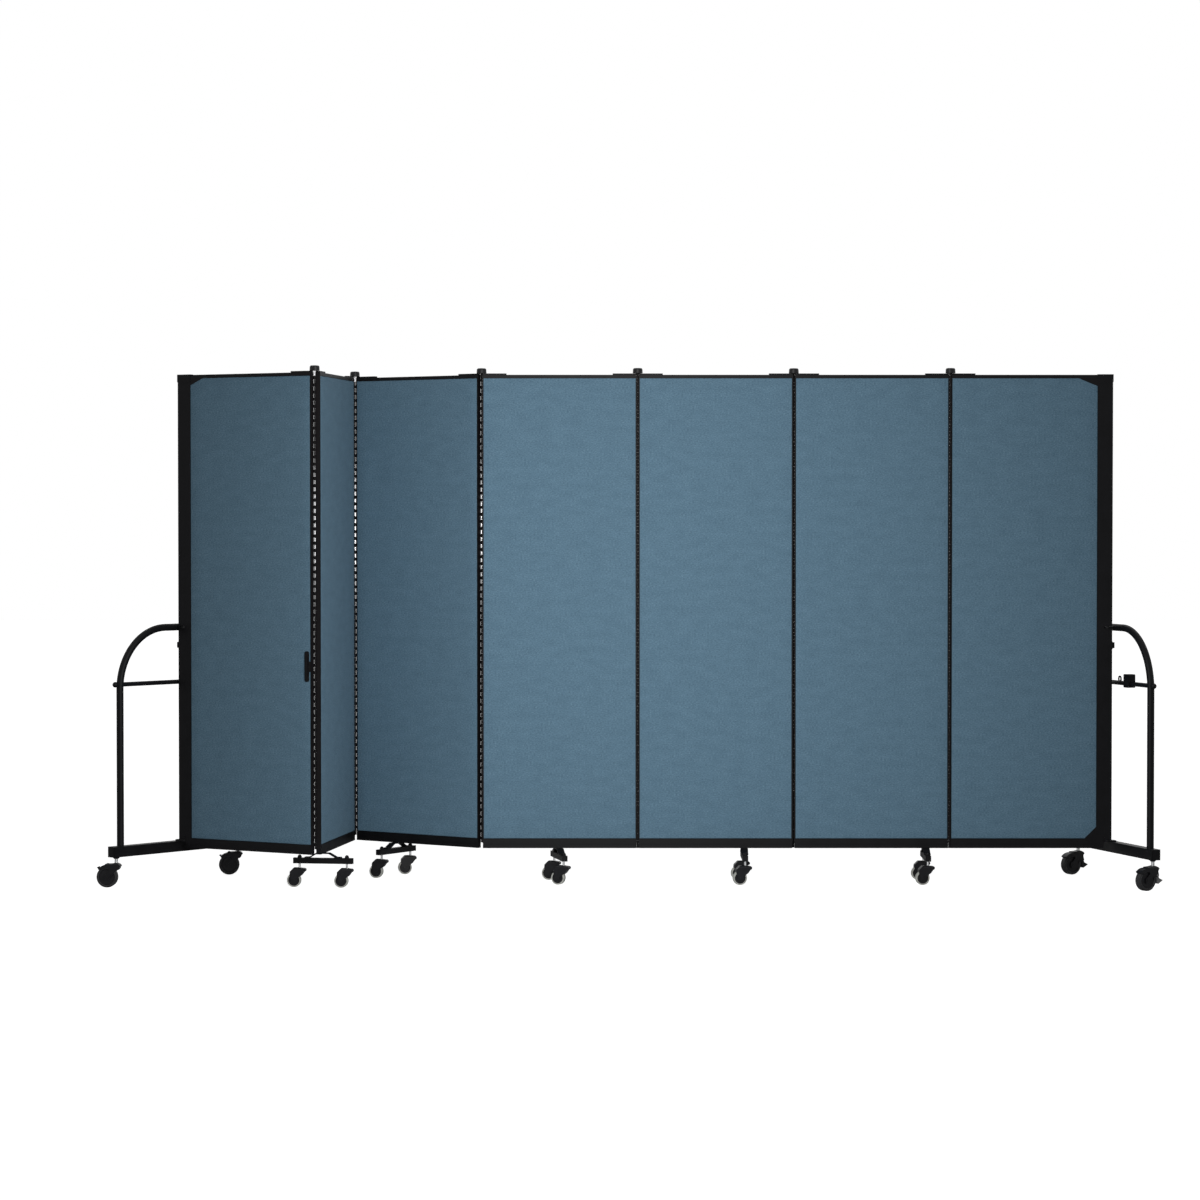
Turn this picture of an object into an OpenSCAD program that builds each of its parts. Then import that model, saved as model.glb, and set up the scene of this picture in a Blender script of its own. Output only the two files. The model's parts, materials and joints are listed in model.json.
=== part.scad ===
// Accordion folding partition. Seven fabric-covered panels in slim frames are joined edge to edge
// by full-length piano hinges. Five twin-caster trucks and two arched end frames carry them.
// The floor is z = 0. +X runs along the straight panels and -Y is the side that faces the viewer.
// Odd hinges sit on the back faces and even hinges on the front faces, so the panels fold in a zigzag.

/* [Panels] */
// Distance between neighbouring hinge lines
panel_pitch = 562; // [540:1:590]
// Height of the panels' bottom edge above the floor
panel_bottom = 124; // [124:1:130]
// Height of the panels' top edge above the floor
panel_top = 1829; // [1500:1:2000]
// Thickness of the panel frames
panel_thick = 18; // [17:0.5:18.5]
// Gap between a hinge line and the panel's edge
edge_gap = 4; // [4:0.1:4.5]
// Width of the frame's edge strips beside the hinges
stile_w = 3; // [2:0.5:8]
// Width of the bottom rail
bottom_rail = 35; // [25:1:50]
// Width of the top rail
top_rail = 12; // [10:1:30]
// How far the fabric faces lie below the frame's faces
fabric_recess = 1; // [0.5:0.1:2]
// Width of the end posts
post_w = 55; // [40:1:70]
// How far the end posts reach past a hinge line
post_reach = 23; // [20:1:26]

/* [Hinges] */
// Distance between knuckle starts along a hinge
knuckle_pitch = 12.7; // [12.7:0.1:40]
// Clearance between neighbouring knuckles
knuckle_gap = 0.6; // [0.5:0.1:1]
// Radius of the hinge barrel
barrel_r = 3.5; // [3.2:0.1:3.6]
// Radius of the hinge pin
pin_r = 1.7; // [1.5:0.1:2]
// Thickness of a hinge leaf
leaf_t = 1.2; // [1:0.1:1.4]
// Distance of the hinge line outside the panel's face
axis_out = 1.25; // [1.2:0.05:1.5]
// Diameter of the knobs on top of the hinges
knob_d = 36; // [30:1:39]
// Height of the knobs
knob_h = 24; // [18:1:28]
// Reach of the flange plates along the top rails
flange_reach = 90; // [60:1:110]

/* [Rest pose] */
// Angle of panel 1 in plan
turn_1 = -30; // [-31:0.1:-29]
// Angle of panel 2 in plan
turn_2 = 81.5; // [80.5:0.1:82.5]
// Angle of panel 3 in plan
turn_3 = -34.1; // [-35:0.1:-33]
// How far the left end frame's front arm leans outward
lean_left = 11; // [6:1:15]
// How far the right end frame's front arm leans outward
lean_right = 18.5; // [12:0.5:20]

/* [Trucks] */
// Length of a truck's cross bar
truck_len = 216; // [200:1:220]
// Thickness of a truck's cross bar
truck_bar = 20; // [18:1:22]
// Distance between a truck's two stems
truck_stems = 172; // [160:1:176]
// Height of the top of the cross bars
truck_top = 105; // [104:1:108]
// Width of the folded steel bracket on a cross bar
bracket_w = 25; // [20:1:30]

/* [Small casters] */
// Radius of a small wheel
small_r = 25; // [24:0.5:26]
// Width of a small wheel
small_w = 19; // [18:0.5:20]
// Distance from the stem to the small wheel's axle
small_trail = 20; // [18:0.5:21]

/* [End frames] */
// Distance between an end frame's two stems
arch_span = 590; // [570:1:600]
// Diameter of the arched tube
arch_tube = 25.4; // [22:0.1:28]
// Height of the top of the arch
arch_top = 933; // [900:1:960]
// Radius of the arch's bends, to the middle of the tube
arch_bend = 215; // [180:1:230]
// Height of the crossbar
crossbar_z = 722; // [600:1:730]
// Diameter of the crossbar
crossbar_d = 16; // [14:1:18]
// Bottom of the square foot bar
foot_z = 108; // [108:1:112]
// Width of the square foot bar
foot_w = 34; // [30:1:36]
// Distance of the arch's plane outside the post's outer face
arch_out = 16; // [15:0.5:20]
// Distance of the pivot inside the post's outer face
pivot_in = 15; // [14:0.5:15]

/* [Large casters] */
// Radius of a large wheel
large_r = 37.5; // [36:0.5:38]
// Width of a large wheel
large_w = 24; // [22:0.5:26]
// Distance from the stem to the large wheel's axle
large_trail = 32; // [30:0.5:34]

/* [Hidden] */
$fn = 48;
eps = 0.01;
// Middle of the floor plan, measured from the left corner of panel 4
plan_middle = [525, 5];
panel_count = 7;
axis_off = panel_thick / 2 + axis_out;
running = 0.06;
stem_hole = 0.08;

// The side of hinge j: odd hinges are behind the panels and even ones in front
function hinge_side(j) = j % 2 == 1 ? 1 : -1;
function turned(a, p) = [p.x * cos(a) - p.y * sin(a), p.x * sin(a) + p.y * cos(a)];
function hinge_at(j) = hinge_side(j) * axis_off;

// Plan angle of each panel, and the plan position of its left hinge line on its own mid-plane
turns = [turn_1, turn_2, turn_3, 0, 0, 0, 0];
origin_4 = -plan_middle;
hinge_3 = origin_4 + [0, hinge_at(3)];
origin_3 = hinge_3 - turned(turn_3, [panel_pitch, hinge_at(3)]);
hinge_2 = origin_3 + turned(turn_3, [0, hinge_at(2)]);
origin_2 = hinge_2 - turned(turn_2, [panel_pitch, hinge_at(2)]);
hinge_1 = origin_2 + turned(turn_2, [0, hinge_at(1)]);
origin_1 = hinge_1 - turned(turn_1, [panel_pitch, hinge_at(1)]);
origins = [origin_1, origin_2, origin_3, origin_4,
    origin_4 + [panel_pitch, 0], origin_4 + [2 * panel_pitch, 0], origin_4 + [3 * panel_pitch, 0]];
function on_plan(k, p) = origins[k - 1] + turned(turns[k - 1], p);

// Where a panel starts and ends along its own length
function panel_start(k) = k == 1 ? -post_reach : edge_gap;
function panel_end(k) = k == panel_count ? panel_pitch + post_reach : panel_pitch - edge_gap;
function left_stile(k) = k == 1 ? post_w : stile_w;
function right_stile(k) = k == panel_count ? post_w : stile_w;
panel_h = panel_top - panel_bottom;

foot_h = 38;
foot_top = foot_z + foot_h;
small_stem_r = 4;
large_stem_r = 6;
flange_t = 5;
knob_z = panel_top + flange_t + 2;

// The end frames' pivots: a lug on the foot bar under the post, and one in a slot of the post
lug_t = 6;
lug_r = 13;
lug_play = 0.3;
low_pin_r = 5;
low_pin_h = 30;
top_pin_r = 4;
slot_z = arch_top - arch_tube / 2 - lug_t / 2;
pocket_in = 14;
plane_x = pivot_in + arch_out;

module on_panel(k) translate(origins[k - 1]) rotate(turns[k - 1]) children();

// ---------------------------------------------------------------- panels

// The triangular plates that stiffen a corner of an end panel, one on each face: length and height
gusset_left = [58, 26];
gusset_right = [70, 29];
gusset_low = [43, 43];
module gusset(size) {
    for (face = [-1, 1])
        translate([0, face * (panel_thick - fabric_recess) / 2, 0]) rotate([90, 0, 0])
            linear_extrude(fabric_recess, center = true) polygon([[0, 0], [size.x, 0], [0, size.y]]);
}

// Puts the origin on the pivot of an end frame, inside its post, with +x pointing out of the panel
module at_pivot(k) {
    if (k == 1) translate([pivot_in - post_reach, 0, 0]) mirror([1, 0, 0]) children();
    else translate([panel_pitch + post_reach - pivot_in, 0, 0]) children();
}

// What the pivots take out of a post: a notch over the foot bar with a bore above it, and a slot
module pivot_cuts() {
    depth = pocket_in + pivot_in + 1;
    notch_h = foot_top + lug_t + lug_play - panel_bottom + 1;
    translate([-pocket_in, -panel_thick, panel_bottom - 1]) cube([depth, 2 * panel_thick, notch_h]);
    // more play above the lug keeps the post's outer face over the slot clear of the bent tube
    slot_above = 1.5;
    translate([-pocket_in, -panel_thick, slot_z - lug_play])
        cube([depth, 2 * panel_thick, lug_play + lug_t + slot_above]);
    translate([0, 0, foot_top]) cylinder(r = low_pin_r + running, h = lug_t + low_pin_h + 2);
}

// What a post carries: the upper pin across its slot, a wall bumper, a screw head and a cap on its top
bumper_z = 842;
module post_fittings() {
    lip = 1.5;
    cap_h = 28;
    pin_root = 4;
    screw_z = 162;
    translate([0, 0, slot_z - pin_root]) cylinder(r = top_pin_r, h = lug_t + 2 * pin_root);
    translate([pivot_in - 1, 0, bumper_z]) rotate([90, 0, 90]) {
        translate([-8, 0]) linear_extrude(3) rounded_plate(16, 28, 6);
        translate([-6, 3]) linear_extrude(10) rounded_plate(12, 22, 5);
    }
    translate([-6, 1 - panel_thick / 2, screw_z]) rotate([90, 0, 0]) cylinder(r = 4.5, h = 2.5);
    // the cap's outer lip starts with a slope, so that nothing overhangs the post's outer face
    cap_top = panel_top + 2;
    cap_bottom = cap_top - cap_h;
    cap_inner = pivot_in - post_w;
    rotate([90, 0, 0]) linear_extrude(panel_thick + 2 * lip, center = true)
        polygon([[cap_inner, cap_bottom], [pivot_in, cap_bottom], [pivot_in + lip, cap_bottom + lip],
            [pivot_in + lip, cap_top], [cap_inner, cap_top]]);
}

module frame_ring(k) {
    start = panel_start(k);
    width = panel_end(k) - start;
    difference() {
        translate([start, -panel_thick / 2, panel_bottom]) cube([width, panel_thick, panel_h]);
        translate([start + left_stile(k), -panel_thick, panel_bottom + bottom_rail])
            cube([width - left_stile(k) - right_stile(k), 2 * panel_thick,
                panel_h - bottom_rail - top_rail]);
        // a shallow groove runs along both faces of the bottom rail
        for (face = [-1, 1])
            translate([start - 1, face * panel_thick / 2 - 0.6, panel_bottom + 9])
                cube([width + 2, 1.2, 2]);
        if (k == 1 || k == panel_count) at_pivot(k) pivot_cuts();
    }
}

module flange_plates(k) {
    if (k > 1)
        translate([edge_gap + 1, -panel_thick / 2 + 1, panel_top])
            cube([flange_reach - edge_gap - 1, panel_thick - 2, flange_t]);
    if (k < panel_count)
        translate([panel_pitch - flange_reach, -panel_thick / 2 + 1, panel_top])
            cube([flange_reach - edge_gap - 1, panel_thick - 2, flange_t]);
}

// A round knob: a cone under a cap with a rounded rim
module knob() {
    cap_z = 9;
    rim = 7;
    rotate_extrude() {
        polygon([[0, 0], [knob_d / 4, 0], [knob_d / 2, cap_z], [0, cap_z]]);
        translate([0, cap_z - eps]) square([knob_d / 2, knob_h - cap_z - rim + eps]);
        square([knob_d / 2 - rim, knob_h]);
        translate([knob_d / 2 - rim, knob_h - rim]) circle(r = rim);
    }
}

module knobs(k) {
    for (side = [0, 1])
        translate([side * panel_pitch, hinge_at(k - 1 + side), knob_z]) knob();
}

// A flat outline with rounded corners
module rounded_plate(w, h, r) {
    translate([r, 0]) square([w - 2 * r, h]);
    translate([0, r]) square([w, h - 2 * r]);
    for (x = [r, w - r], y = [r, h - r]) translate([x, y]) circle(r = r);
}

// The small latch beside the first hinge: a rounded plate with a raised thumb bar
latch_w = 18;
latch_h = 108;
latch_z = 736;
latch_t = 3;
module latch() {
    rim = 4;
    translate([panel_end(1) - latch_w - 9, -panel_thick / 2 + fabric_recess, latch_z]) rotate([90, 0, 0]) {
        linear_extrude(latch_t) rounded_plate(latch_w, latch_h, 7);
        translate([rim, 5 * rim, latch_t])
            linear_extrude(latch_t) rounded_plate(latch_w - 2 * rim, latch_h - 10 * rim, 4);
        // a tongue that ties the latch to the frame's edge strip
        translate([latch_w - rim, latch_h / 3, 0]) cube([rim + 8, latch_h / 3, latch_t]);
    }
}

module panel_frame(k) {
    color([0.08, 0.08, 0.09]) on_panel(k) {
        frame_ring(k);
        flange_plates(k);
        if (k == 1) {
            latch();
            translate([panel_start(1) + post_w, 0, panel_top - top_rail])
                mirror([0, 0, 1]) gusset(gusset_left);
        }
        if (k == panel_count) {
            translate([panel_end(k) - post_w, 0, panel_top - top_rail])
                mirror([1, 0, 0]) mirror([0, 0, 1]) gusset(gusset_right);
            translate([panel_end(k) - post_w, 0, panel_bottom + bottom_rail])
                mirror([1, 0, 0]) gusset(gusset_low);
        }
        if (k == 1 || k == panel_count) at_pivot(k) post_fittings();
        if (k % 2 == 0) knobs(k);
    }
}

module panel_fabric(k) {
    start = panel_start(k) + left_stile(k);
    width = panel_end(k) - right_stile(k) - start;
    thick = panel_thick - 2 * fabric_recess;
    color([0.36, 0.47, 0.55]) on_panel(k)
        translate([start, -thick / 2, panel_bottom + bottom_rail])
            cube([width, thick, panel_h - bottom_rail - top_rail]);
}

// ---------------------------------------------------------------- piano hinges

hinge_bottom = panel_bottom + 18;
hinge_top = panel_top - 2;
knuckle_count = floor((hinge_top - hinge_bottom) / knuckle_pitch / 2) * 2 - 1;
knuckles_z = (hinge_top + hinge_bottom - knuckle_count * knuckle_pitch) / 2;

// One leaf, with its hinge line at the origin, its panel on the +x side and the barrel on the +y side.
// Its knuckles are every second one, from first on.
module hinge_leaf(first, bore_r) {
    difference() {
        union() {
            translate([edge_gap - leaf_t, -2 * axis_off + axis_out + 1, hinge_bottom])
                cube([leaf_t, 2 * axis_off - axis_out - 1 - barrel_r - 0.35, hinge_top - hinge_bottom]);
            for (i = [first : 2 : knuckle_count - 1])
                translate([0, 0, knuckles_z + i * knuckle_pitch + knuckle_gap / 2]) {
                    cylinder(r = barrel_r, h = knuckle_pitch - knuckle_gap);
                    translate([edge_gap - leaf_t - 0.6, -barrel_r - 1, 0])
                        cube([leaf_t + 0.6 - eps, barrel_r + 1, knuckle_pitch - knuckle_gap]);
                }
        }
        translate([0, 0, hinge_bottom - 1]) cylinder(r = bore_r, h = hinge_top - hinge_bottom + 2);
    }
}

// The pin runs through every knuckle and carries a knob above the top rail, on a thicker collar
collar_r = 3;
module hinge_pin() {
    knuckles_top = knuckles_z + knuckle_count * knuckle_pitch;
    translate([0, 0, knuckles_z]) cylinder(r = pin_r, h = knob_z - knuckles_z);
    translate([0, 0, knuckles_top]) cylinder(r = collar_r, h = knob_z - knuckles_top);
}

module panel_leaves(k) {
    holds_pin = k % 2 == 0;
    bore_r = holds_pin ? pin_r : pin_r + running;
    color([0.45, 0.45, 0.47]) on_panel(k) {
        // leaf on the panel's left edge
        if (k > 1) translate([0, hinge_at(k - 1), 0]) to_face(hinge_side(k - 1)) hinge_leaf(1, bore_r);
        // leaf on the panel's right edge
        if (k < panel_count) translate([panel_pitch, hinge_at(k), 0]) mirror([1, 0, 0])
            to_face(hinge_side(k)) hinge_leaf(0, bore_r);
        if (holds_pin)
            for (side = [0, 1]) translate([side * panel_pitch, hinge_at(k - 1 + side), 0]) hinge_pin();
    }
}

// Mirrors front to back for the hinges on the front faces
module to_face(side) {
    if (side > 0) children();
    else mirror([0, 1, 0]) children();
}

// ---------------------------------------------------------------- caster trucks

// Each truck's share of the pitch, counted from its panel's back-hinge edge. The back-hinge edges lie on
// one side of the folded stack, so even steps of the share keep the folded trucks clear of each other.
share_from_back = [0, 0.135, 0.68, 0.495, 0.315, 0.85, 0];
// How far each truck is turned from square to its panel
truck_turns = [0, 0, 0, 12, 0, 0, 0];
function truck_u(k) =
    panel_pitch * (hinge_side(k - 1) > 0 ? share_from_back[k - 1] : 1 - share_from_back[k - 1]);
function truck_stem(k, side) =
    on_plan(k, [truck_u(k), 0] + turned(truck_turns[k - 1], [0, side * truck_stems / 2]));

// Bent flat steel: flat under the rail, sloping down to a foot on the bar at each end. Only its middle
// touches the rail, so that a folded neighbour passes over the rest of the flat.
module truck_bracket() {
    t = 4;
    top = panel_bottom;
    seat = 8;
    low = top - 0.4;
    rotate([90, 0, 90]) translate([0, 0, -bracket_w / 2]) linear_extrude(bracket_w) difference() {
        polygon([[-66, truck_top], [-66, truck_top + t], [-50, truck_top + t], [-24, low], [-seat, low],
            [-seat, top], [seat, top], [seat, low], [24, low],
            [50, truck_top + t], [66, truck_top + t], [66, truck_top]]);
        polygon([[-48, truck_top - 1], [-48, truck_top], [-22, top - t], [22, top - t],
            [48, truck_top], [48, truck_top - 1]]);
    }
}

module dome_nut(r, h) {
    cylinder(r = r, h = h * 0.45, $fn = 6);
    translate([0, 0, h * 0.45 - eps]) intersection() {
        translate([0, 0, h * 0.55 - r * 0.85]) sphere(r = r * 0.85);
        cylinder(r = r, h = h);
    }
}

module truck(k) {
    color([0.09, 0.09, 0.1]) on_panel(k) translate([truck_u(k), 0, 0]) rotate(truck_turns[k - 1]) {
        difference() {
            translate([-truck_bar / 2, -truck_len / 2, truck_top - truck_bar])
                cube([truck_bar, truck_len, truck_bar]);
            for (side = [-1, 1]) translate([0, side * truck_stems / 2, truck_top - truck_bar - 1])
                cylinder(r = small_stem_r + stem_hole, h = truck_bar + 2);
        }
        truck_bracket();
        for (side = [-1, 1]) translate([0, side * truck_stems / 2, truck_top]) dome_nut(8, 11);
    }
}

// Outline of a small caster's hood, seen from its side: a roof over the wheel, a beak in front and a leg
// down to the axle
small_hood_top = 70;
module small_hood_outline() {
    wheel = [-small_trail, small_r];
    polygon([[-20, small_hood_top], [-34, 56], [-35, 44], wheel + [-9, 3], wheel + [9, 3], [9, 43], [17, 54],
        [17, 67], [-2, small_hood_top]]);
    translate([16.5, 61]) circle(r = 6.5);
    translate(wheel) circle(r = 9.5);
}

// The front view of a hood, with round shoulders
module hood_front(width, top, shoulder) {
    rotate([90, 0, 90]) linear_extrude(200, center = true)
        translate([-width / 2, -20]) rounded_plate(width, top + 20, shoulder);
}

// The stem stands on the origin, and the wheel trails towards -x
module small_fork() {
    cheek = 3;
    width = small_w + 1.6 + 2 * cheek;
    difference() {
        intersection() {
            translate([0, width / 2, 0]) rotate([90, 0, 0]) linear_extrude(width) small_hood_outline();
            hood_front(width, small_hood_top, 7);
        }
        translate([-small_trail, 0, small_r]) rotate([90, 0, 0])
            cylinder(r = small_r + 1.5, h = small_w + 1.6, center = true);
    }
    translate([-small_trail, 0, small_r]) rotate([90, 0, 0])
        cylinder(r = 3, h = width + 2, center = true);
    translate([0, 0, small_hood_top - 4]) cylinder(r = small_stem_r, h = truck_top - small_hood_top + 3.7);
}

// A wheel on its axle line: a soft tread with rounded shoulders round a hub with a dished face
module wheel_shape(r, w, tread, bore_r) {
    rotate([90, 0, 0]) rotate_extrude($fn = 96) {
        translate([r - tread, -w / 2 + 2]) square([tread, w - 4]);
        translate([r - tread, -w / 2]) square([tread - 2, w]);
        for (side = [-1, 1]) translate([r - 2, side * (w / 2 - 2)]) circle(r = 2, $fn = 24);
    }
    rotate([90, 0, 0]) rotate_extrude($fn = 96) difference() {
        translate([bore_r, -w / 2 + 0.5]) square([r - tread - bore_r, w - 1]);
        for (side = [-1, 1]) translate([bore_r + 3.5, side * (w / 2 - 0.5) - 1.5])
            square([r - tread - bore_r - 6, 3]);
    }
}

module small_wheel() {
    translate([-small_trail, 0, small_r]) wheel_shape(small_r, small_w, 5, 3 + running);
}

module small_caster_at(k, side) translate(concat(truck_stem(k, side), 0)) rotate(small_heading(k, side))
    children();

// Which way each small wheel trails in the photographed pose, as a plan angle from +X
headings_front = [0, -6, -12, -20, 10, 8, 0];
headings_back = [0, -4, 8, -12, 6, 4, 0];
function small_heading(k, side) = side < 0 ? headings_front[k - 1] : headings_back[k - 1];

// ---------------------------------------------------------------- end frames

// The arched tube: up from the foot bar, round a bend, across the middle and down again
module arch() {
    reach = arch_span / 2 - 20;
    r = arch_tube / 2;
    bend_z = arch_top - r - arch_bend;
    for (turn = [0, 180]) rotate(turn) {
        translate([0, reach, foot_top - 2]) cylinder(r = r, h = bend_z - foot_top + 2);
        translate([0, reach - arch_bend, bend_z]) rotate([90, 0, 90])
            rotate_extrude(angle = 90, $fn = 96) translate([arch_bend, 0]) circle(r = r, $fn = 32);
    }
    translate([0, arch_bend - reach, arch_top - r]) rotate([-90, 0, 0])
        cylinder(r = r, h = 2 * (reach - arch_bend));
}

// A flat lug that turns about the origin, with its root out along +x
module lug(z) {
    translate([0, 0, z]) {
        cylinder(r = lug_r, h = lug_t);
        translate([0, -lug_r, 0]) cube([plane_x, 2 * lug_r, lug_t]);
    }
}

// The end frame, with its pivot at the origin, its arms along y and its arch's plane out along +x
module end_frame_shape() {
    ball_r = crossbar_d / 2 + 2;
    foot_len = arch_span + 48;
    plug = 1.5;
    translate([plane_x, 0, 0]) {
        arch();
        // square foot bar with a plug in each end and bores for the stems
        difference() {
            union() {
                translate([-foot_w / 2, -foot_len / 2, foot_z]) cube([foot_w, foot_len, foot_h]);
                translate([2 - foot_w / 2, -foot_len / 2 - plug, foot_z + 2])
                    cube([foot_w - 4, foot_len + 2 * plug, foot_h - 4]);
            }
            for (side = [-1, 1]) translate([0, side * arch_span / 2, foot_z - 1])
                cylinder(r = large_stem_r + stem_hole, h = foot_h - 10);
        }
        // crossbar with a ball on each end
        translate([0, 0, crossbar_z]) rotate([90, 0, 0])
            cylinder(r = crossbar_d / 2, h = arch_span + 2, center = true);
        for (side = [-1, 1]) translate([0, side * (arch_span / 2 + 2), crossbar_z]) sphere(r = ball_r);
    }
    // the lower lug carries the post, with its pin up in the post's bore
    lug(foot_top);
    translate([0, 0, foot_top]) cylinder(r = low_pin_r, h = lug_t + low_pin_h);
    // the upper lug reaches into the post's slot and turns on the post's pin
    difference() {
        lug(slot_z);
        translate([0, 0, slot_z - 1]) cylinder(r = top_pin_r + running, h = lug_t + 2);
    }
}

// The locking block on the right end frame's crossbar, and the eye beside it
module lock_block() {
    block = [28, 38, 48];
    block_y = -110;
    eye_y = -36;
    eye_r = 9;
    wire_r = 2.8;
    translate([plane_x - block.x / 2, block_y - block.y / 2, crossbar_z - 14]) rotate([90, 0, 90])
        linear_extrude(block.x) rounded_plate(block.y, block.z, 4);
    translate([plane_x, eye_y, crossbar_z + crossbar_d / 2 + eye_r - wire_r]) rotate([0, 90, 0])
        rotate_extrude() translate([eye_r, 0]) circle(r = wire_r, $fn = 24);
}

module on_left_end() on_panel(1) at_pivot(1) rotate(lean_left) children();
module on_right_end() on_panel(panel_count) at_pivot(panel_count) rotate(lean_right) children();

module end_frame_left() {
    color([0.08, 0.08, 0.09]) on_left_end() end_frame_shape();
}

module end_frame_right() {
    color([0.08, 0.08, 0.09]) on_right_end() {
        end_frame_shape();
        lock_block();
    }
}

// ---------------------------------------------------------------- large casters

// Outline of a large caster's hood from its side: a boss round the stem, a beak in front, a band over the
// wheel and a leg down to the axle. The left casters have a brake lever in the band, and the right ones
// have a brake pedal in front of the wheel.
large_top = 88;
lever_pivot = [-33, 79.5];
lever_pin_r = 3;
pedal_pivot = [10, 54];
pedal_pin_r = 4;
large_hub = [-large_trail, large_r];

// The part of a ring round the large wheel that lies inside a sector
module wheel_band(inner, outer, sector) {
    translate(large_hub) intersection() {
        difference() {
            circle(r = large_r + outer, $fn = 96);
            circle(r = large_r + inner, $fn = 96);
        }
        polygon(sector);
    }
}

module large_hood_outline(has_lever) {
    translate([0, large_top - 14]) circle(r = 14);
    polygon([[0, large_top], [13, 83], [18, 77], [2, 60], large_hub + [10, -2], large_hub + [-10, 2],
        [-24, 60], [-31, 78], [-31, 84], [-14, 85]]);
    translate(large_hub) circle(r = 11);
    wheel_band(-6, 6, [[0, 0], [60, 70], [0, 70], [-55, 50]]);
    if (has_lever) translate(lever_pivot) circle(r = 6);
    else {
        translate(pedal_pivot) circle(r = 6);
        polygon([[2, 64], [12, 70], [15.5, 56], [8, 48.5], [-8, 46]]);
    }
}

module large_fork(has_lever) {
    cheek = 3;
    gap = large_w + 2;
    width = gap + 2 * cheek;
    brake_pivot = has_lever ? lever_pivot : pedal_pivot;
    difference() {
        intersection() {
            translate([0, width / 2, 0]) rotate([90, 0, 0])
                linear_extrude(width) large_hood_outline(has_lever);
            hood_front(width, large_top, 8);
        }
        translate([-large_trail, 0, large_r]) rotate([90, 0, 0])
            cylinder(r = large_r + 2, h = gap, center = true, $fn = 96);
        // room for the brake between the cheeks
        if (has_lever) translate([-80, -gap / 2, 60]) cube([53, gap, 40]);
        else translate([-8, -gap / 2, 20]) cube([60, gap, 43]);
        translate([brake_pivot.x, 0, brake_pivot.y]) rotate([90, 0, 0])
            cylinder(r = (has_lever ? lever_pin_r : pedal_pin_r) + running, h = 2 * width, center = true);
    }
    translate([-large_trail, 0, large_r]) rotate([90, 0, 0])
        cylinder(r = 4, h = width + 3, center = true);
    translate([0, 0, large_top - 10]) cylinder(r = large_stem_r, h = foot_z - large_top + 37);
}

module large_wheel() {
    translate([-large_trail, 0, large_r]) wheel_shape(large_r, large_w, 7, 4 + running);
}

// A brake turns on its cross pin between the cheeks
module brake(has_lever) {
    rotate([90, 0, 0]) {
        translate(has_lever ? lever_pivot : pedal_pivot)
            cylinder(r = has_lever ? lever_pin_r : pedal_pin_r, h = large_w + 10, center = true);
        linear_extrude(large_w - 1, center = true) {
            if (has_lever) {
                translate(lever_pivot) circle(r = lever_pin_r + 0.6);
                wheel_band(2.3, 6, [[0, 0], [-2, 70], [-55, 60], [-55, 50]]);
                polygon([large_hub + [-28.5, 28.5], large_hub + [-37, 34], large_hub + [-30, 37]]);
            }
            else translate(pedal_pivot)
                polygon([[-4, 3], [3, 4], [10, -11], [25, -18], [25, -20], [6, -31], [1, -29], [-2, -8]]);
        }
    }
}

// Which way each large wheel trails in the photographed pose, as a plan angle from +X
end_headings = [["left", -1, -4], ["left", 1, 4], ["right", -1, 30], ["right", 1, 27]];
function end_heading(side_name, side) =
    [for (row = end_headings) if (row[0] == side_name && row[1] == side) row[2]][0];

// Plan position of an end frame's stem
function end_stem(side_name, side) = side_name == "left"
    ? on_plan(1, [pivot_in - post_reach, 0] + turned(-lean_left, [-plane_x, side * arch_span / 2]))
    : on_plan(panel_count, [panel_pitch + post_reach - pivot_in, 0]
        + turned(lean_right, [plane_x, side * arch_span / 2]));

module large_caster_at(side_name, side)
    translate(concat(end_stem(side_name, side), 0)) rotate(end_heading(side_name, side)) children();

// ---------------------------------------------------------------- nodes

SIDES = [["front", -1], ["back", 1]];
ENDS = ["left", "right"];
NODES = concat(
    [for (k = [1 : panel_count]) str("panel_", k, "_frame")],
    [for (k = [1 : panel_count]) str("panel_", k, "_fabric")],
    [for (k = [1 : panel_count]) str("panel_", k, "_hinge_leaves")],
    [for (k = [2 : panel_count - 1]) str("truck_", k)],
    [for (k = [2 : panel_count - 1], s = SIDES) str("caster_fork_", k, "_", s[0])],
    [for (k = [2 : panel_count - 1], s = SIDES) str("caster_wheel_", k, "_", s[0])],
    ["end_frame_left", "end_frame_right"],
    [for (e = ENDS, s = SIDES) str("end_fork_", e, "_", s[0])],
    [for (e = ENDS, s = SIDES) str("end_wheel_", e, "_", s[0])],
    [for (e = ENDS, s = SIDES) str("brake_pedal_", e, "_", s[0])]);
node = "all";
function drawn(name) = node == "all" || node == name;

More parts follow.
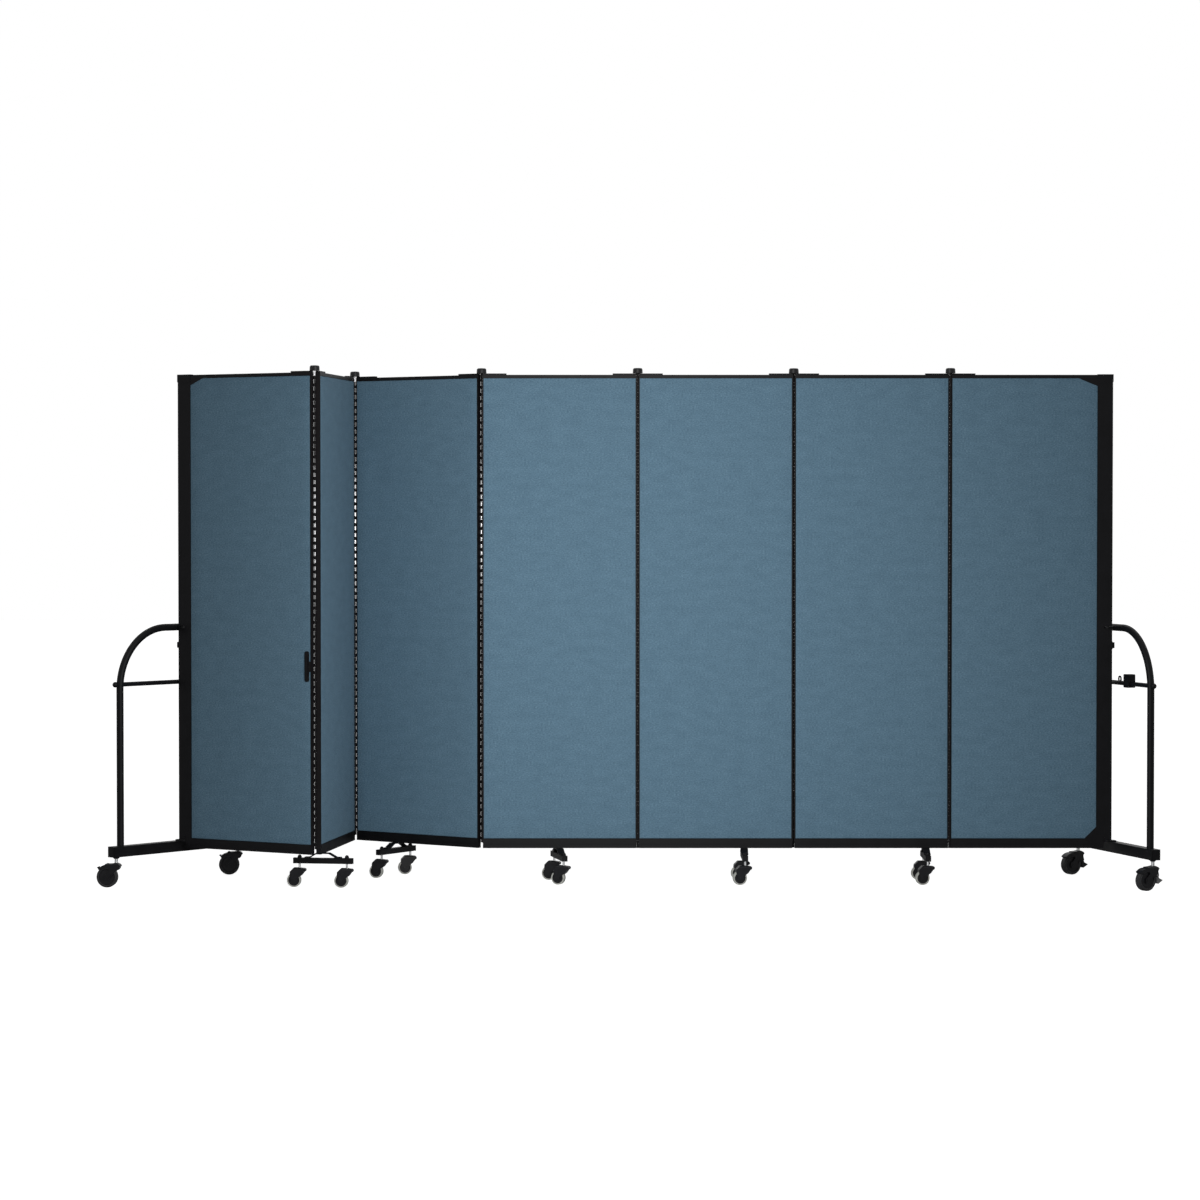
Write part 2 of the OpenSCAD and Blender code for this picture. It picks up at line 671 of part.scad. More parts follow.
for (k = [1 : panel_count]) {
    if (drawn(str("panel_", k, "_frame"))) panel_frame(k);
    if (drawn(str("panel_", k, "_fabric"))) panel_fabric(k);
    if (drawn(str("panel_", k, "_hinge_leaves"))) panel_leaves(k);
}
for (k = [2 : panel_count - 1]) {
    if (drawn(str("truck_", k))) truck(k);
    for (s = SIDES) {
        if (drawn(str("caster_fork_", k, "_", s[0])))
            color([0.09, 0.09, 0.1]) small_caster_at(k, s[1]) small_fork();
        if (drawn(str("caster_wheel_", k, "_", s[0])))
            color([0.5, 0.5, 0.5]) small_caster_at(k, s[1]) small_wheel();
    }
}
if (drawn("end_frame_left")) end_frame_left();
if (drawn("end_frame_right")) end_frame_right();
for (e = ENDS)
    for (s = SIDES) {
        if (drawn(str("end_fork_", e, "_", s[0])))
            color([0.1, 0.1, 0.11]) large_caster_at(e, s[1]) large_fork(e == "left");
        if (drawn(str("end_wheel_", e, "_", s[0])))
            color([0.2, 0.2, 0.21]) large_caster_at(e, s[1]) large_wheel();
        if (drawn(str("brake_pedal_", e, "_", s[0])))
            color([0.35, 0.35, 0.36]) large_caster_at(e, s[1]) brake(e == "left");
    }
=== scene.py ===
"""Looks of the accordion folding partition, dressed over its CAD frame."""
import json
import math

import bmesh
import bpy
from mathutils import Matrix, Vector


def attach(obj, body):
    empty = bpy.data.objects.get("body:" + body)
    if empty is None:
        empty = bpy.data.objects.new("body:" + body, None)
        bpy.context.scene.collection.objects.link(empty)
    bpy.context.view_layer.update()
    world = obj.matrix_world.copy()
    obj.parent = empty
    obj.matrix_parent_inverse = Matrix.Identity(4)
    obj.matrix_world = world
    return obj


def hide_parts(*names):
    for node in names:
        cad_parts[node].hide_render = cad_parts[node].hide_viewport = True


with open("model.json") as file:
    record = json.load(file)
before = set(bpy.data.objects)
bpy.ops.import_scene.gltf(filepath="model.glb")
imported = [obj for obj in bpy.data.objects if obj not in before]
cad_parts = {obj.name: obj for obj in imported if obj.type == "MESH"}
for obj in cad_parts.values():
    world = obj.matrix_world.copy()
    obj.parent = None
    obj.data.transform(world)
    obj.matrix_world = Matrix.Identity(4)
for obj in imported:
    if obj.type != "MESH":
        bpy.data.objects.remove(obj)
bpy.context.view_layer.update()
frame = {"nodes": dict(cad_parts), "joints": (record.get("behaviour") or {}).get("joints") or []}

MM = 0.001
JOINTS = {j["name"]: j for j in frame["joints"]}
NODES = frame["nodes"]

# ---------------------------------------------------------------- driving sizes, as in the CAD model

PANELS = range(1, 8)
PITCH = 562 * MM
THICK = 18 * MM
BOTTOM = 124 * MM
TOP = 1829 * MM
EDGE_GAP = 4 * MM
STILE = 3 * MM
BOTTOM_RAIL = 35 * MM
TOP_RAIL = 12 * MM
RECESS = 1 * MM
POST_W = 55 * MM
POST_REACH = 23 * MM
AXIS_OFF = THICK / 2 + 1.25 * MM
BARREL_R = 3.5 * MM
LEAF_LOW = 142 * MM
KNUCKLES_LOW = 152.65 * MM
KNUCKLES_TOP = 1816 * MM
COLLAR_R = 3 * MM
FLANGE_TOP = TOP + 5 * MM
KNOB_Z = TOP + 7 * MM
FOOT_Z = 108 * MM
# Each panel's turn on the plan, in degrees
TURNS = {1: -30, 2: 81.5, 3: -34.1, 4: 0, 5: 0, 6: 0, 7: 0}
HINGES = range(1, 7)
FIRST_STRAIGHT_HINGE = 4

SMALL_WHEEL_R = 25 * MM
SMALL_WHEEL_W = 19 * MM
SMALL_TREAD = 5 * MM
SMALL_BORE_R = 3.1 * MM
SMALL_STEM_R = 4 * MM
SMALL_STEM_LOW = 72 * MM
LARGE_WHEEL_R = 37.5 * MM
LARGE_WHEEL_W = 24 * MM
LARGE_TREAD = 7 * MM
LARGE_BORE_R = 4.1 * MM
LARGE_STEM_R = 6 * MM
LARGE_STEM_LOW = 90.5 * MM

# ---------------------------------------------------------------- sizes of the looks

# Edges that turn by more than this many degrees are sharp
SHARP_ANGLE = 35
SOFT_EDGE = 0.8 * MM
# What a face may stand off the radius it belongs to
SLACK = 0.3 * MM


def hinge_side(j):
    """+1 for the hinges behind the panels, which are the odd ones, and -1 for those in front."""
    return 1 if j % 2 else -1


def panel_matrix(k):
    """Panel k's own frame: x along it from its left hinge line, y towards its back, z up."""
    turn = Matrix.Rotation(math.radians(TURNS[k]), 4, "Z")
    j, along = (1, PITCH) if k == 1 else (k - 1, 0)
    hinge = Vector(JOINTS[f"hinge_{j}"]["pos_m"])
    hinge.z = 0
    return Matrix.Translation(hinge) @ turn @ Matrix.Translation((-along, -hinge_side(j) * AXIS_OFF, 0))


def panel_span(k):
    """Where panel k starts and ends along its own length, and the widths of its two uprights."""
    start = -POST_REACH if k == 1 else EDGE_GAP
    end = PITCH + POST_REACH if k == 7 else PITCH - EDGE_GAP
    return start, end, POST_W if k == 1 else STILE, POST_W if k == 7 else STILE


# ---------------------------------------------------------------- materials


def new_material(name, color, roughness, metallic=0.0):
    mat = bpy.data.materials.new(name)
    mat.use_nodes = True
    shader = mat.node_tree.nodes["Principled BSDF"]
    shader.inputs["Base Color"].default_value = (*color, 1)
    shader.inputs["Roughness"].default_value = roughness
    shader.inputs["Metallic"].default_value = metallic
    return mat, mat.node_tree, shader


def add_noise(tree, vector, scale, detail, rough=0.5):
    noise = tree.nodes.new("ShaderNodeTexNoise")
    noise.inputs["Scale"].default_value = scale
    noise.inputs["Detail"].default_value = detail
    noise.inputs["Roughness"].default_value = rough
    tree.links.new(vector, noise.inputs["Vector"])
    return noise.outputs["Fac"]


def add_ramp(tree, value, stops):
    ramp = tree.nodes.new("ShaderNodeValToRGB")
    ramp.color_ramp.elements[0].position = stops[0][0]
    ramp.color_ramp.elements[0].color = (*stops[0][1], 1)
    ramp.color_ramp.elements[1].position = stops[-1][0]
    ramp.color_ramp.elements[1].color = (*stops[-1][1], 1)
    for at, color in stops[1:-1]:
        ramp.color_ramp.elements.new(at).color = (*color, 1)
    tree.links.new(value, ramp.inputs["Fac"])
    return ramp.outputs["Color"]


def add_math(tree, kind, a, b):
    node = tree.nodes.new("ShaderNodeMath")
    node.operation = kind
    for socket, value in zip(node.inputs, (a, b)):
        if isinstance(value, (int, float)):
            socket.default_value = value
        else:
            tree.links.new(value, socket)
    return node.outputs[0]


def add_range(tree, value, low, high):
    node = tree.nodes.new("ShaderNodeMapRange")
    node.inputs["To Min"].default_value = low
    node.inputs["To Max"].default_value = high
    tree.links.new(value, node.inputs["Value"])
    return node.outputs[0]


def add_bump(tree, shader, height, strength, distance):
    bump = tree.nodes.new("ShaderNodeBump")
    bump.inputs["Strength"].default_value = strength
    bump.inputs["Distance"].default_value = distance
    tree.links.new(height, bump.inputs["Height"])
    tree.links.new(bump.outputs["Normal"], shader.inputs["Normal"])


def scaled(tree, vector, scale):
    node = tree.nodes.new("ShaderNodeMapping")
    node.inputs["Scale"].default_value = scale
    tree.links.new(vector, node.inputs["Vector"])
    return node.outputs["Vector"]


def multiplied(tree, a, b):
    """Two colours multiplied."""
    node = tree.nodes.new("ShaderNodeMix")
    node.data_type = "RGBA"
    node.blend_type = "MULTIPLY"
    node.inputs["Factor"].default_value = 1.0
    tree.links.new(a, node.inputs["A"])
    tree.links.new(b, node.inputs["B"])
    return node.outputs["Result"]


def shaded(color, share):
    return tuple(min(1.0, share * c) for c in color)


def add_streaks(tree, shader, place, roughness):
    """Fine streaks up a drawn piece, which make its gloss uneven."""
    streaks = add_noise(tree, scaled(tree, place, (1500, 1500, 60)), 1.0, 2.0)
    gloss = add_range(tree, streaks, roughness - 0.08, roughness + 0.12)
    tree.links.new(gloss, shader.inputs["Roughness"])
    return streaks


def fabric_material():
    """Heathered blue-grey cloth: crossing threads, flecks drawn out along the weft, and slow mottling."""
    mat, tree, shader = new_material("heathered_fabric", (0.11, 0.19, 0.26), 0.9)
    uv = tree.nodes.new("ShaderNodeTexCoord").outputs["UV"]
    flecks = add_noise(tree, scaled(tree, uv, (150, 330, 1)), 1.0, 4.0, 0.7)
    color = add_ramp(tree, flecks, [
        (0.30, (0.060, 0.112, 0.160)), (0.47, (0.098, 0.176, 0.242)),
        (0.58, (0.122, 0.208, 0.276)), (0.74, (0.190, 0.285, 0.350))])
    mottle = add_noise(tree, scaled(tree, uv, (16, 34, 1)), 1.0, 2.0, 0.5)
    shade = add_ramp(tree, mottle, [(0.30, (0.88, 0.89, 0.90)), (0.70, (1.0, 1.0, 1.0))])
    tree.links.new(multiplied(tree, color, shade), shader.inputs["Base Color"])
    threads = []
    for direction, pitch in (("X", 1.1 * MM), ("Y", 1.3 * MM)):
        wave = tree.nodes.new("ShaderNodeTexWave")
        wave.bands_direction = direction
        # a wave texture of scale 1 repeats every pi / 10
        wave.inputs["Scale"].default_value = math.pi / 10 / pitch
        wave.inputs["Distortion"].default_value = 1.5
        wave.inputs["Detail"].default_value = 1.0
        tree.links.new(uv, wave.inputs["Vector"])
        threads.append(wave.outputs["Fac"])
    weave = add_math(tree, "MULTIPLY", threads[0], threads[1])
    height = add_math(tree, "ADD", weave, add_math(tree, "MULTIPLY", flecks, 0.8))
    add_bump(tree, shader, height, 0.35, 0.4 * MM)
    shader.inputs["Sheen Weight"].default_value = 0.02
    shader.inputs["Sheen Roughness"].default_value = 0.6
    shader.inputs["Specular IOR Level"].default_value = 0.08
    return mat


def powder_coat(name, color, roughness):
    """Black powder coat with a fine orange peel and slightly uneven gloss."""
    mat, tree, shader = new_material(name, color, roughness)
    place = tree.nodes.new("ShaderNodeTexCoord").outputs["Object"]
    peel = add_noise(tree, place, 900.0, 2.0)
    patches = add_noise(tree, place, 22.0, 3.0)
    tone = add_ramp(tree, patches, [(0.3, shaded(color, 0.85)), (0.7, shaded(color, 1.2))])
    tree.links.new(tone, shader.inputs["Base Color"])
    gloss = add_range(tree, patches, roughness - 0.07, roughness + 0.07)
    tree.links.new(gloss, shader.inputs["Roughness"])
    add_bump(tree, shader, peel, 0.12, 0.15 * MM)
    shader.inputs["Specular IOR Level"].default_value = 0.10
    return mat


def moulded(name, color, roughness):
    """Moulded plastic or rubber with a faint grain."""
    mat, tree, shader = new_material(name, color, roughness)
    place = tree.nodes.new("ShaderNodeTexCoord").outputs["Object"]
    grain = add_noise(tree, place, 1400.0, 2.0)
    scuffs = add_noise(tree, place, 60.0, 4.0, 0.65)
    tone = add_ramp(tree, scuffs, [(0.35, shaded(color, 0.8)), (0.7, shaded(color, 1.25))])
    tree.links.new(tone, shader.inputs["Base Color"])
    gloss = add_range(tree, scuffs, roughness - 0.08, roughness + 0.1)
    tree.links.new(gloss, shader.inputs["Roughness"])
    add_bump(tree, shader, grain, 0.15, 0.1 * MM)
    shader.inputs["Specular IOR Level"].default_value = 0.2
    return mat


def steel(name, color, roughness):
    """Drawn steel with fine streaks up its length."""
    mat, tree, shader = new_material(name, color, roughness, 1.0)
    place = tree.nodes.new("ShaderNodeTexCoord").outputs["Object"]
    streaks = add_streaks(tree, shader, place, roughness)
    tone = add_ramp(tree, streaks, [(0.3, shaded(color, 0.85)), (0.7, color)])
    tree.links.new(tone, shader.inputs["Base Color"])
    add_bump(tree, shader, streaks, 0.08, 0.05 * MM)
    return mat


def highlight_band_steel(name, color, roughness):
    """Drawn steel with a painted highlight: its own colour in a band at a fixed height, and painted dark
    below and above that band.
    """
    mat, tree, shader = new_material(name, color, roughness, 1.0)
    place = tree.nodes.new("ShaderNodeTexCoord").outputs["Object"]
    split = tree.nodes.new("ShaderNodeSeparateXYZ")
    tree.links.new(place, split.inputs["Vector"])
    height = add_math(tree, "DIVIDE", split.outputs["Z"], TOP)
    low, half, high = (shaded(color, share) for share in (0.03, 0.45, 0.06))
    # the stops are shares of the frames' height; the band between them is a painted highlight where a
    # lamp's reflection falls on the knuckles, and the colour is painted dark below and above it
    tone = add_ramp(tree, height, [(0.53, low), (0.60, half), (0.66, color),
                                   (0.75, color), (0.79, half), (0.84, high)])
    tree.links.new(tone, shader.inputs["Base Color"])
    add_streaks(tree, shader, place, roughness)
    return mat


FABRIC = fabric_material()
FRAME_BLACK = powder_coat("frame_black", (0.0050, 0.0050, 0.0058), 0.45)
TRUCK_BLACK = powder_coat("truck_black", (0.0050, 0.0050, 0.0058), 0.42)
LEAF_BLACK = powder_coat("leaf_black", (0.0050, 0.0045, 0.0050), 0.50)
PIN_STEEL = steel("pin_steel", (0.62, 0.62, 0.64), 0.30)
# the knuckles' band at mid-height is a painted highlight, dim in this material and bright in the next
KNUCKLE_STEEL = highlight_band_steel("knuckle_steel_dim_painted_highlight", (0.50, 0.50, 0.51), 0.34)
KNUCKLE_BRIGHT = highlight_band_steel("knuckle_bright_painted_highlight", (0.95, 0.95, 0.96), 0.24)
STEM_STEEL = steel("stem_steel", (0.62, 0.62, 0.62), 0.28)
HOOD_BLACK = moulded("hood_black", (0.0055, 0.0055, 0.0070), 0.42)
HUB_BLACK = moulded("hub_black", (0.0080, 0.0080, 0.0095), 0.45)
# a lighter copy of the hub's black, which paints a highlight on the lip's real bead
HUB_LIP = moulded("hub_lip_painted_highlight", (0.045, 0.045, 0.048), 0.35)
TREAD_GREY = moulded("tread_grey", (0.40, 0.40, 0.37), 0.62)
TREAD_DARK = moulded("tread_dark", (0.030, 0.030, 0.031), 0.55)
PEDAL_GREY = moulded("pedal_grey", (0.21, 0.21, 0.21), 0.5)
KNOB_BLACK = moulded("knob_black", (0.0060, 0.0060, 0.0068), 0.40)


# ---------------------------------------------------------------- mesh helpers


def add_piece(name, mesh, body, materials):
    """A visible piece that moves with a body of the frame."""
    piece = bpy.data.objects.new(name, mesh)
    bpy.context.scene.collection.objects.link(piece)
    for mat in materials:
        mesh.materials.append(mat)
    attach(piece, body)
    return piece


def soften(piece, width, segments=2):
    """Rounds the sharp edges of a piece or CAD node without changing its own mesh."""
    bevel = piece.modifiers.new("soft_edges", "BEVEL")
    bevel.width = width
    bevel.segments = segments
    bevel.limit_method = "ANGLE"
    bevel.angle_limit = math.radians(SHARP_ANGLE)
    bevel.harden_normals = True


def smooth_by_angle(mesh, angle=SHARP_ANGLE):
    mesh.polygons.foreach_set("use_smooth", [True] * len(mesh.polygons))
    mesh.set_sharp_from_angle(angle=math.radians(angle))


def paint(node, material):
    """Gives a shown CAD node its material."""
    obj = NODES[node]
    if obj.material_slots:
        for place in obj.material_slots:
            place.material = material
    else:
        obj.data.materials.append(material)


def split_copy(node, name, body, materials, pick):
    """A piece with a CAD node's shape whose faces take the material that pick(centre) chooses."""
    mesh = NODES[node].data.copy()
    mesh.name = name
    mesh.materials.clear()
    piece = add_piece(name, mesh, body, materials)
    mesh.polygons.foreach_set("material_index", [pick(p.center) for p in mesh.polygons])
    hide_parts(node)
    return piece


def lathe(profile, segments, place):
    """A closed mesh made by turning a closed profile of (radius, height) points about z, then placed."""
    bm = bmesh.new()
    rings = []
    for r, h in profile:
        if r < 1e-7:
            rings.append([bm.verts.new((0, 0, h))] * segments)
            continue
        angles = [2 * math.pi * i / segments for i in range(segments)]
        rings.append([bm.verts.new((r * math.cos(a), r * math.sin(a), h)) for a in angles])
    for low, high in zip(rings, rings[1:] + rings[:1]):
        for i in range(segments):
            corners = [low[i], low[(i + 1) % segments], high[(i + 1) % segments], high[i]]
            unique = list(dict.fromkeys(corners))
            if len(unique) > 2:
                bm.faces.new(unique)
    bmesh.ops.recalc_face_normals(bm, faces=bm.faces)
    mesh = bpy.data.meshes.new("lathe")
    bm.to_mesh(mesh)
    bm.free()
    smooth_by_angle(mesh)
    mesh.transform(place)
    return mesh


def arc(cx, cy, r, start, end, steps):
    """Points of an arc from one angle to another, in degrees."""
    angles = [math.radians(start + (end - start) * i / steps) for i in range(steps + 1)]
    return [(cx + r * math.cos(a), cy + r * math.sin(a)) for a in angles]


def upright_at(centre):
    """The matrix that takes the z axis to the vertical through a point of the plan."""
    return Matrix.Translation((*centre, 0))


def stand_at(point, axis):
    """The matrix that takes the z axis to an axis through a point."""
    turn = Vector((0, 0, 1)).rotation_difference(Vector(axis)).to_matrix().to_4x4()
    return Matrix.Translation(point) @ turn


# ---------------------------------------------------------------- fabric panels


def edge_lines(low, high, radius, steps, inner):
    """Grid lines that crowd along the rounded borders and run evenly between them."""
    border = [radius * (1 - math.cos(math.pi / 2 * i / steps)) for i in range(steps + 1)]
    middle = [low + radius + (high - low - 2 * radius) * i / inner for i in range(1, inner)]
    return [low + b for b in border] + middle + [high - b for b in reversed(border)]


def fabric_mesh(k):
    """Two taut cloth faces over a core, with soft borders that turn in to the frame."""
    start, end, left, right = panel_span(k)
    low_x, high_x = start + left, end - right
    low_z, high_z = BOTTOM + BOTTOM_RAIL, TOP - TOP_RAIL
    half = THICK / 2 - RECESS
    radius, border_steps, columns, rows = 2.4 * MM, 4, 14, 34
    # the faces are uneven by this much, from this far inside their borders
    uneven, even_border = 0.25 * MM, 0.04
    # each panel and each face shows another part of the cloth
    panel_shift, face_shift = 0.61, 0.37
    xs = edge_lines(low_x, high_x, radius, border_steps, columns)
    zs = edge_lines(low_z, high_z, radius, border_steps, rows)
    bm = bmesh.new()
    uv = bm.loops.layers.uv.new("UVMap")

    def drop(v, low, high):
        d = min(v - low, high - v)
        return radius - math.sqrt(max(0.0, radius**2 - (radius - d) ** 2)) if d < radius else 0.0

    def ripple(x, z, side):
        return uneven * math.sin(9 * x + 1.7 * k + side) * math.sin(5 * z + 2.1 * k)

    grids = []
    for side in (-1, 1):
        grid = []
        for x in xs:
            column = []
            for z in zs:
                inset = max(drop(x, low_x, high_x), drop(z, low_z, high_z))
                inside = min((x - low_x) / even_border, (high_x - x) / even_border,
                             (z - low_z) / even_border, (high_z - z) / even_border, 1.0)
                y = half - inset + inside * (ripple(x, z, side) - uneven)
                column.append(bm.verts.new((x, side * y, z)))
            grid.append(column)
        grids.append(grid)
    for side, grid in enumerate(grids):
        for i in range(len(xs) - 1):
            for j in range(len(zs) - 1):
                corners = [grid[i][j], grid[i + 1][j], grid[i + 1][j + 1], grid[i][j + 1]]
                bm.faces.new(corners if side == 0 else corners[::-1])
    front, back = grids
    last_x, last_z = len(xs) - 1, len(zs) - 1
    rim = [(i, 0) for i in range(last_x + 1)] + [(last_x, j) for j in range(1, last_z + 1)]
    rim += [(i, last_z) for i in range(last_x - 1, -1, -1)] + [(0, j) for j in range(last_z - 1, 0, -1)]
    for (a, b), (c, d) in zip(rim, rim[1:] + rim[:1]):
        bm.faces.new([front[a][b], back[a][b], back[c][d], front[c][d]])
    for face in bm.faces:
        for loop in face.loops:
            co = loop.vert.co
            loop[uv].uv = (co.x + panel_shift * k, co.z + (face_shift if co.y > 0 else 0.0))
    bmesh.ops.recalc_face_normals(bm, faces=bm.faces)
    mesh = bpy.data.meshes.new(f"fabric_{k}")
    bm.to_mesh(mesh)
    bm.free()
    mesh.transform(panel_matrix(k))
    smooth_by_angle(mesh, 60)
    return mesh


def make_fabrics():
    for k in PANELS:
        piece = add_piece(f"fabric_{k}", fabric_mesh(k), f"panel_{k}", [FABRIC])
        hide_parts(f"panel_{k}_fabric")


# ---------------------------------------------------------------- frames, hinges and trucks


def hinge_centre(j):
    """Where a hinge's axis stands on the plan."""
    return Vector(JOINTS[f"hinge_{j}"]["pos_m"]).xy


def hinge_holder(j):
    """The even panel beside a hinge carries its pin and its knob."""
    return j if j % 2 == 0 else j + 1


def frame_without_knobs(k):
    """The frame of an even panel, whose knobs are turned anew as domes."""
    mesh = NODES[f"panel_{k}_frame"].data.copy()
    mesh.name = f"frame_{k}"
    mesh.materials.clear()
    bm = bmesh.new()
    bm.from_mesh(mesh)
    knobs = [v for v in bm.verts if v.co.z > KNOB_Z - 0.5 * MM]
    bmesh.ops.delete(bm, geom=knobs, context="VERTS")
    bm.to_mesh(mesh)
    bm.free()
    piece = add_piece(f"frame_{k}", mesh, f"panel_{k}", [FRAME_BLACK])
    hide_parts(f"panel_{k}_frame")
    return piece


def make_knobs():
    """Low domes that sit just above the flange plates, as wide below as above."""
    r, rim, chamfer, taper = 18 * MM, 6 * MM, 1 * MM, 0.8 * MM
    low, high = FLANGE_TOP + 0.6 * MM, TOP + 24 * MM
    profile = ([(0, low), (r - chamfer, low), (r, low + chamfer), (r - taper, high - rim)]
               + arc(r - taper - rim, high - rim, rim, 0, 75, 6)[1:]
               + [(5 * MM, high + 0.3 * MM), (0, high + 0.4 * MM)])
    for j in HINGES:
        mesh = lathe(profile, 64, upright_at(hinge_centre(j)))
        knob = add_piece(f"knob_{j}", mesh, f"panel_{hinge_holder(j)}", [KNOB_BLACK])
        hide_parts(f"panel_{hinge_holder(j)}_frame")


def make_barrel_ends():
    """A plain black end of the barrel under the lowest knuckle, which the straight hinges have down to
    the rails' bottom edge and the folded ones only as far as the leaves reach."""
    chamfer, high = 0.4 * MM, KNUCKLES_LOW - 0.4 * MM
    for j in HINGES:
        straight = j >= FIRST_STRAIGHT_HINGE
        low = BOTTOM + 0.6 * MM if straight else LEAF_LOW + 1 * MM
        r = 3.9 * MM if straight else BARREL_R
        neck = max(LEAF_LOW - 0.5 * MM, low + 0.5 * MM)
        profile = [(0, low), (r - chamfer, low), (r, low + chamfer), (r, neck), (BARREL_R, neck + chamfer),
                   (BARREL_R, high), (0, high)]
        mesh = lathe(profile, 32, upright_at(hinge_centre(j)))
        add_piece(f"barrel_end_{j}", mesh, f"panel_{hinge_holder(j)}", [LEAF_BLACK])


def make_collar_sleeves():
    """Black sleeves round the pin collars of the hinges that show no bright one."""
    bore, thin, wide = COLLAR_R + 0.05 * MM, 3.9 * MM, 5 * MM
    low, step, high = KNUCKLES_TOP + 0.7 * MM, TOP + 0.3 * MM, FLANGE_TOP + 0.5 * MM
    profile = [(bore, low), (thin, low), (thin, step), (wide, step), (wide, high), (bore, high)]
    for j in HINGES[2:]:
        mesh = lathe(profile, 32, upright_at(hinge_centre(j)))
        add_piece(f"collar_sleeve_{j}", mesh, f"panel_{hinge_holder(j)}", [LEAF_BLACK])


def dress_frames():
    for k in PANELS:
        if k % 2:
            paint(f"panel_{k}_frame", FRAME_BLACK)
            soften(NODES[f"panel_{k}_frame"], SOFT_EDGE)
        else:
            soften(frame_without_knobs(k), SOFT_EDGE)
    for side in ("left", "right"):
        paint(f"end_frame_{side}", FRAME_BLACK)
        soften(NODES[f"end_frame_{side}"], 1.2 * MM)
    for k in range(2, 7):
        paint(f"truck_{k}", TRUCK_BLACK)
        soften(NODES[f"truck_{k}"], SOFT_EDGE)


def dress_hinges():
    materials = [LEAF_BLACK, PIN_STEEL, KNUCKLE_STEEL, KNUCKLE_BRIGHT]
    black, pin, dim, bright = range(len(materials))
    for k in PANELS:
        node = f"panel_{k}_hinge_leaves"
        if k % 2:
            paint(node, LEAF_BLACK)
            continue

        def pick(centre, k=k):
            # panel 2's pin collars are bare steel, the knuckles of hinge 1 take the dim painted highlight
            # and those of hinges 2 and 3 the bright painted highlight, and all the rest are black
            reach = min(range(k - 1, k + 1), key=lambda j: (centre.xy - hinge_centre(j)).length)
            from_axis = (centre.xy - hinge_centre(reach)).length
            if centre.z > KNUCKLES_TOP:
                return pin if k == 2 and from_axis < COLLAR_R + SLACK else black
            if from_axis > BARREL_R + SLACK:
                return black
            return {1: dim, 2: bright, 3: bright}.get(reach, black)

        split_copy(node, f"hinge_leaves_{k}", f"panel_{k}", materials, pick)


# ---------------------------------------------------------------- casters


def wheel_pieces(tag, body, joint, node, r, width, tread, bore, tread_material):
    """A tread with rounded shoulders, and a hub whose dished faces carry a raised boss."""
    w = width / 2
    shoulder, edge = 2.2 * MM, 0.3 * MM
    inner = r - tread
    tread_profile = ([(inner, -w + edge), (r - shoulder, -w)]
                     + arc(r - shoulder, -w + shoulder, shoulder, -90, 0, 5)[1:]
                     + arc(r - shoulder, w - shoulder, shoulder, 0, 90, 5)
                     + [(inner, w - edge)])
    turn = stand_at(JOINTS[joint]["pos_m"], JOINTS[joint]["axis"])
    mesh = lathe(tread_profile, 72, turn)
    tyre = add_piece(f"tread_{tag}", mesh, body, [tread_material])
    face, dish = w - 0.5 * MM, w - 2.4 * MM
    boss, boss_foot, rim_foot, rim = 6.5 * MM, 6.5 * MM + 1 * MM, inner - 3.5 * MM, inner - 2 * MM
    hub_profile = [(bore, -face), (boss, -face), (boss_foot, -dish), (rim_foot, -dish), (rim, -face),
                   (inner, -face), (inner, face), (rim, face), (rim_foot, dish), (boss_foot, dish),
                   (boss, face), (bore, face)]
    mesh = lathe(hub_profile, 64, turn)
    hub = add_piece(f"hub_{tag}", mesh, body, [HUB_BLACK])
    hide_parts(node)
    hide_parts(node)
    if tread_material is TREAD_DARK:
        # a round lip on each face, where the hub meets the tread, a real bead whose lighter grey is partly
        # a painted highlight; its arc of 24 points closes on itself
        lip_r, lip_face = 1.3 * MM, w - 0.2 * MM
        for end, side in (("outer", 1), ("inner", -1)):
            mesh = lathe(arc(inner, side * lip_face, lip_r, 0, 345, 23), 72, turn)
            add_piece(f"lip_{end}_{tag}", mesh, body, [HUB_LIP])


def dress_fork(node, body, joint, stem_r, stem_low):
    """The stem is bright steel, and the hood, head and axle are black."""
    centre_line = Vector(JOINTS[joint]["pos_m"]).xy

    def pick(centre):
        near = (Vector(centre).xy - centre_line).length < stem_r + SLACK
        return 1 if near and centre.z > stem_low else 0

    piece = split_copy(node, f"{node}_shell", body, [HOOD_BLACK, STEM_STEEL], pick)
    soften(piece, 1.0 * MM, 3)
    smooth_by_angle(piece.data, 40)


def make_stem_collar(tag, end_body, joint):
    """A cone under the foot bar, round the top of a large caster's stem."""
    bore, low_r, high_r = 6.3 * MM, 8 * MM, 13 * MM
    low, edge, high = FOOT_Z - 6 * MM, FOOT_Z - 1 * MM, FOOT_Z - 0.1 * MM
    profile = [(bore, low), (low_r, low), (high_r, edge), (high_r, high), (bore, high)]
    mesh = lathe(profile, 48, upright_at(Vector(JOINTS[joint]["pos_m"]).xy))
    add_piece(f"stem_collar_{tag}", mesh, end_body, [HOOD_BLACK])


